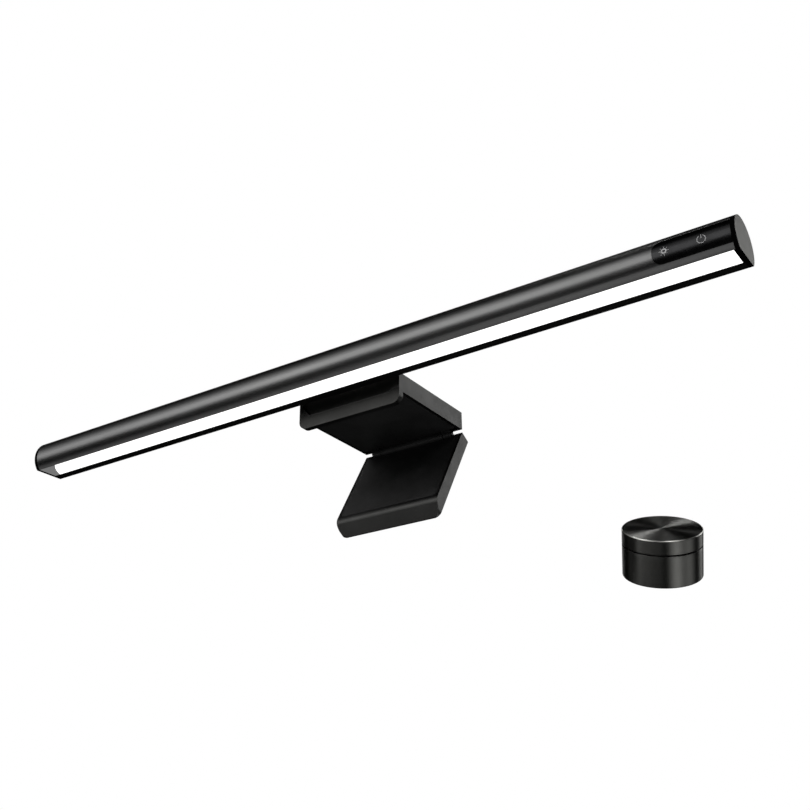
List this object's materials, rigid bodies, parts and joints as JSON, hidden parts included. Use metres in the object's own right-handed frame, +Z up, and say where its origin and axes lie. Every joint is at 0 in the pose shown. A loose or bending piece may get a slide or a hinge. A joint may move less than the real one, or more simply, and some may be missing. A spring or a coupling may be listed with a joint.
{
  "type": "monitor light bar",
  "caption": "LED light bar with a D-shaped tube and touch panel, a clamp with a sprung rear leg that hangs on a monitor, and a wireless round dial.",
  "frame": {"origin": "middle of the underside of the clamp rest pad, where it sits on the top edge of the monitor", "axes": "+X along the bar towards its touch panel, +Y from the user towards the back of the monitor, +Z up; the bar flat side faces down at rest"},
  "size_m": [0.45, 0.1997, 0.1155],
  "materials": {
    "anodised_black": "satin black anodised",
    "cap_plastic": "fine matte moulded",
    "diffuser_white": "milky, lit from behind",
    "reflector_white": "white film",
    "circuit_board": "solder mask",
    "led": "phosphor",
    "chip_black": "moulded epoxy",
    "shield_tin": "bright tin plate",
    "touch_gloss": "polished",
    "flex_film": "polyimide film",
    "zinc": "die cast",
    "steel": "bright",
    "steel_black": "black e-coat",
    "bush_nylon": "natural nylon",
    "rubber_black": "silicone",
    "gunmetal": "turned and anodised"
  },
  "bodies": {
    "clamp": {"clamp_shell": "anodised_black", "clamp_front_plate": "cap_plastic", "base_plate": "steel_black", "rest_pad": "rubber_black", "lip_pad": "rubber_black", "clamp_screws": "steel", "bracket_screws": "steel", "tilt_bracket": "steel_black", "neck_cover": "anodised_black", "hinge_bracket": "steel_black", "hinge_pin": "steel"},
    "bar": {"bar_extrusion": "anodised_black", "left_end_cap": "cap_plastic", "right_end_cap": "cap_plastic", "diffuser": "diffuser_white", "end_gusset": "cap_plastic", "reflector": "reflector_white", "led_board": "circuit_board", "leds": "led", "control_board": "circuit_board", "radio_module": "shield_tin", "board_parts": "chip_black", "usb_inlet": "shield_tin", "touch_panel": "touch_gloss", "touch_board": "circuit_board", "touch_flex": "flex_film", "pivot_block_left": "zinc", "pivot_block_right": "zinc", "pivot_pin": "steel", "friction_washers": "bush_nylon", "pivot_screws": "steel"},
    "leg": {"leg_shell": "anodised_black", "leg_pad": "rubber_black", "leg_inner_cover": "cap_plastic", "counterweight": "steel", "leg_hinge_leaf": "steel_black", "hinge_bushes": "bush_nylon", "leg_screws": "steel", "torsion_spring": "steel"},
    "remote": {"remote_base": "gunmetal", "remote_bottom_cover": "cap_plastic", "remote_foot_ring": "rubber_black", "remote_screws": "steel", "remote_weight": "steel", "cell_holder": "cap_plastic", "coin_cell": "shield_tin", "remote_board": "circuit_board", "encoder_housing": "chip_black", "press_switch": "shield_tin", "return_spring": "steel"},
    "dial_carrier": {"dial_carrier": "cap_plastic"},
    "dial": {"dial_knob": "gunmetal", "dial_hub": "cap_plastic"}
  },
  "joints": [
    {"name": "bar_tilt", "type": "hinge", "parent": "clamp", "child": "bar", "pos_m": [0, -0.046, 0.01374], "axis": [1, 0, 0], "range_deg": [-20, 20]},
    {"name": "leg_swing", "type": "hinge", "parent": "clamp", "child": "leg", "pos_m": [0, 0.0323, -0.00085], "axis": [1, 0, 0], "range_deg": [0, 110], "stiffness_Nm_per_rad": 0.15, "springref_deg": -28.65},
    {"name": "dial_unit_move", "type": "slide", "parent": "clamp", "child": "remote", "axis": [1, 0, 0], "range_m": [0, 0.1]},
    {"name": "dial_press", "type": "slide", "parent": "remote", "child": "dial_carrier", "axis": [-0.2899, 0.5274, -0.7986], "range_m": [0, 0.0007], "stiffness_N_per_m": 1500, "springref_m": -0.0007},
    {"name": "dial_turn", "type": "hinge", "parent": "dial_carrier", "child": "dial", "pos_m": [0.109, 0.12254, -0.07625], "axis": [0.2899, -0.5274, 0.7986], "continuous": true}
  ]
}
